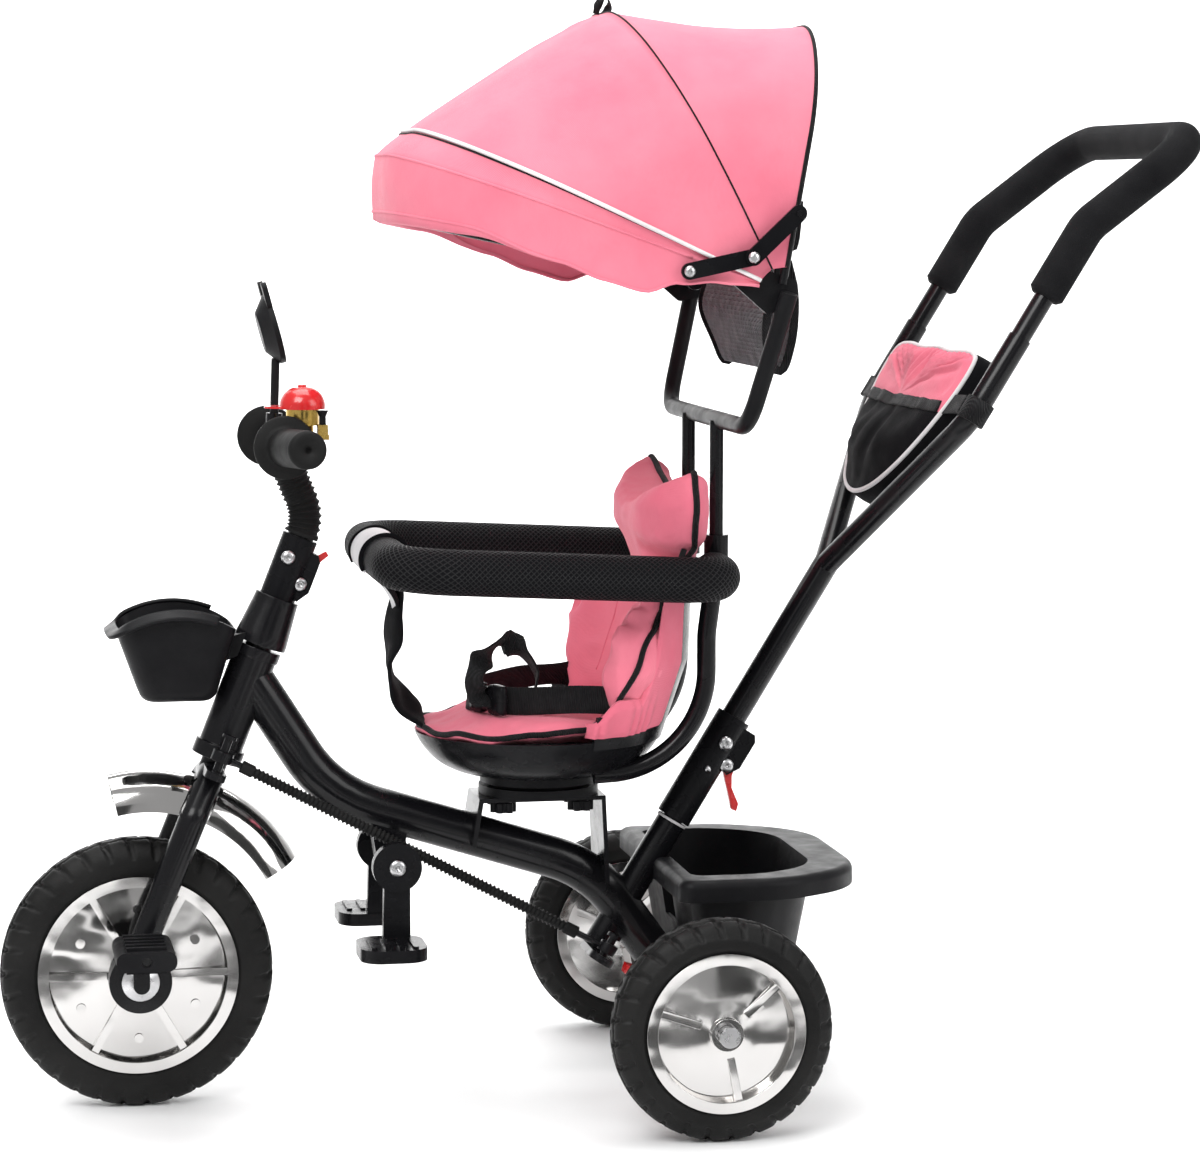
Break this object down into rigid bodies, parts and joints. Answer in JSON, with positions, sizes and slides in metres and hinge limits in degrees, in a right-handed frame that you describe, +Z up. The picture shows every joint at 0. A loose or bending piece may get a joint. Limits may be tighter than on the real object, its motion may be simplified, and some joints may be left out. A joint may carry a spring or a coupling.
{
  "type": "children's tricycle",
  "caption": "Pedal tricycle with padded bucket seat, guard ring, folding canopy, footrest, baskets and a rear push handle that steers the front wheel through a link.",
  "frame": {"origin": "on the ground under the middle of the whole tricycle", "axes": "+X forward, +Y to the rider's left, +Z up"},
  "size_m": [1.1122, 0.534, 1.0189],
  "materials": {
    "black_paint": "gloss black",
    "black_plastic": "satin black plastic",
    "chrome": "bright chrome plated plastic",
    "tyre": "black foam rubber",
    "rubber": "black rubber",
    "foam": "black foam grip",
    "pink_fabric": "pink woven polyester",
    "black_fabric": "black webbing and mesh",
    "wrap": "silver grey wrap",
    "red_plastic": "glossy red plastic",
    "brass": "polished brass",
    "steel": "zinc plated steel",
    "mirror": "mirror film"
  },
  "bodies": {
    "frame": {"main_tube": "black_paint", "head_tube": "black_paint", "steering_tubes": "black_paint", "rear_frame": "black_paint", "rear_axle": "steel", "seat_bracket": "black_paint", "seat_knobs": "black_plastic", "seat_base": "black_plastic", "seat_shell": "black_plastic", "seat_cover": "pink_fabric", "seat_tubes": "black_paint", "guard_tube": "black_paint", "guard_pad": "foam", "guard_strap": "wrap", "harness": "black_fabric", "rear_basket": "black_plastic", "canopy_posts": "black_paint", "canopy_bracket": "black_paint", "rear_bow": "black_paint", "canopy_rear_panel": "pink_fabric", "canopy_pocket": "black_fabric"},
    "fork": {"fork": "black_paint", "front_fender": "chrome", "head_cap": "black_paint", "stem_clamp": "black_plastic", "handlebar": "black_paint", "stem_bellows": "rubber", "handlebar_grips": "rubber", "bell_base": "brass", "bell_cap": "red_plastic", "front_basket": "black_plastic"},
    "stem_lever": {"stem_lever": "red_plastic"},
    "bell_lever": {"bell_lever": "black_plastic"},
    "mirror": {"mirror_housing": "black_plastic", "mirror_glass": "mirror"},
    "front_wheel": {"front_tyre": "tyre", "front_rim": "chrome", "crank": "black_paint"},
    "left_pedal": {"left_pedal": "black_plastic"},
    "right_pedal": {"right_pedal": "black_plastic"},
    "left_rear_wheel": {"left_rear_tyre": "tyre", "left_rear_rim": "chrome"},
    "right_rear_wheel": {"right_rear_tyre": "tyre", "right_rear_rim": "chrome"},
    "steering_column": {"steering_shaft": "black_paint", "handle_clamp": "black_plastic"},
    "handle_lever": {"handle_lever": "red_plastic"},
    "link": {"steering_link": "black_paint", "link_hose": "rubber"},
    "push_handle": {"handle_tubes": "black_paint", "handle_bow": "black_paint", "handle_grip": "foam", "handle_bag": "pink_fabric"},
    "brake": {"brake_pedal": "red_plastic"},
    "footrest": {"footrest": "black_plastic"},
    "canopy_mid": {"mid_bow": "black_paint"},
    "canopy_front": {"front_bow": "black_paint", "canopy_front_panel": "pink_fabric"},
    "stay_rear": {"stay_rear_links": "black_plastic"},
    "stay_front": {"stay_front_links": "black_plastic"}
  },
  "joints": [
    {"name": "steer", "type": "hinge", "parent": "frame", "child": "fork", "pos_m": [0.3321, 0, 0.38], "axis": [-0.3665, 0, 0.9304], "range_deg": [-30, 30]},
    {"name": "handle_steer", "type": "hinge", "parent": "frame", "child": "steering_column", "pos_m": [-0.0325, 0, 0.1715], "axis": [-0.5255, 0, 0.8508], "range_deg": [-30, 30]},
    {"name": "link_swing", "type": "hinge", "parent": "steering_column", "child": "link", "pos_m": [-0.01253, 0.04, 0.13917], "axis": [-0.5255, 0, 0.8508], "range_deg": [-30, 30]},
    {"name": "front_wheel_spin", "type": "hinge", "parent": "fork", "child": "front_wheel", "pos_m": [0.4291, 0, 0.127], "axis": [0, 1, 0], "continuous": true},
    {"name": "left_pedal_spin", "type": "hinge", "parent": "front_wheel", "child": "left_pedal", "pos_m": [0.4291, 0.116, 0.167], "axis": [0, 1, 0], "continuous": true},
    {"name": "right_pedal_spin", "type": "hinge", "parent": "front_wheel", "child": "right_pedal", "pos_m": [0.4291, -0.116, 0.087], "axis": [0, 1, 0], "continuous": true},
    {"name": "left_rear_spin", "type": "hinge", "parent": "frame", "child": "left_rear_wheel", "pos_m": [-0.0809, 0.229, 0.1016], "axis": [0, 1, 0], "continuous": true},
    {"name": "right_rear_spin", "type": "hinge", "parent": "frame", "child": "right_rear_wheel", "pos_m": [-0.0809, -0.229, 0.1016], "axis": [0, 1, 0], "continuous": true},
    {"name": "handle_height", "type": "slide", "parent": "steering_column", "child": "push_handle", "axis": [-0.5255, 0, 0.8508], "range_m": [0, 0.06]},
    {"name": "handle_release", "type": "hinge", "parent": "steering_column", "child": "handle_lever", "pos_m": [-0.13874, 0, 0.30451], "axis": [0, -1, 0], "range_deg": [0, 14], "stiffness_Nm_per_rad": 0.4},
    {"name": "stem_release", "type": "hinge", "parent": "fork", "child": "stem_lever", "pos_m": [0.27145, 0, 0.48078], "axis": [0, -1, 0], "range_deg": [0, 60]},
    {"name": "bell_ring", "type": "hinge", "parent": "fork", "child": "bell_lever", "pos_m": [0.2586, 0.074, 0.639], "axis": [0, -1, 0], "range_deg": [0, 22], "stiffness_Nm_per_rad": 0.05},
    {"name": "mirror_swivel", "type": "hinge", "parent": "fork", "child": "mirror", "pos_m": [0.2951, -0.012, 0.622], "axis": [-0.0349, 0, 0.9994], "range_deg": [-35, 35]},
    {"name": "footrest_fold", "type": "hinge", "parent": "frame", "child": "footrest", "pos_m": [0.1911, 0, 0.228], "axis": [0, 1, 0], "range_deg": [0, 80]},
    {"name": "brake_press", "type": "hinge", "parent": "frame", "child": "brake", "pos_m": [-0.0809, 0.071, 0.1016], "axis": [0, 1, 0], "range_deg": [-9, 9]},
    {"name": "canopy_fold", "type": "hinge", "parent": "frame", "child": "canopy_mid", "pos_m": [-0.1409, 0, 0.765], "axis": [0, -1, 0], "range_deg": [0, 29], "deforming": ["canopy_rear_panel"]},
    {"name": "visor_fold", "type": "hinge", "parent": "canopy_mid", "child": "canopy_front", "pos_m": [-0.1409, 0, 0.765], "axis": [0, -1, 0], "range_deg": [0, 34.9], "deforming": ["canopy_front_panel"]},
    {"name": "stay_rear_fold", "type": "hinge", "parent": "frame", "child": "stay_rear", "pos_m": [-0.15305, 0, 0.83394], "axis": [0, -1, 0], "range_deg": [-4.63, 0.1]},
    {"name": "stay_front_fold", "type": "hinge", "parent": "stay_rear", "child": "stay_front", "pos_m": [-0.1119, 0, 0.795], "axis": [0, -1, 0], "range_deg": [-0.1, 110.32]}
  ],
  "couplings": [
    {"joint": "handle_steer", "follows": "steer", "ratio": 1},
    {"joint": "link_swing", "follows": "steer", "ratio": -1},
    {"joint": "visor_fold", "follows": "canopy_fold", "ratio": 1.2},
    {"joint": "stay_rear_fold", "follows": "canopy_fold", "ratio": -0.1563},
    {"joint": "stay_front_fold", "follows": "canopy_fold", "ratio": 3.8008}
  ]
}
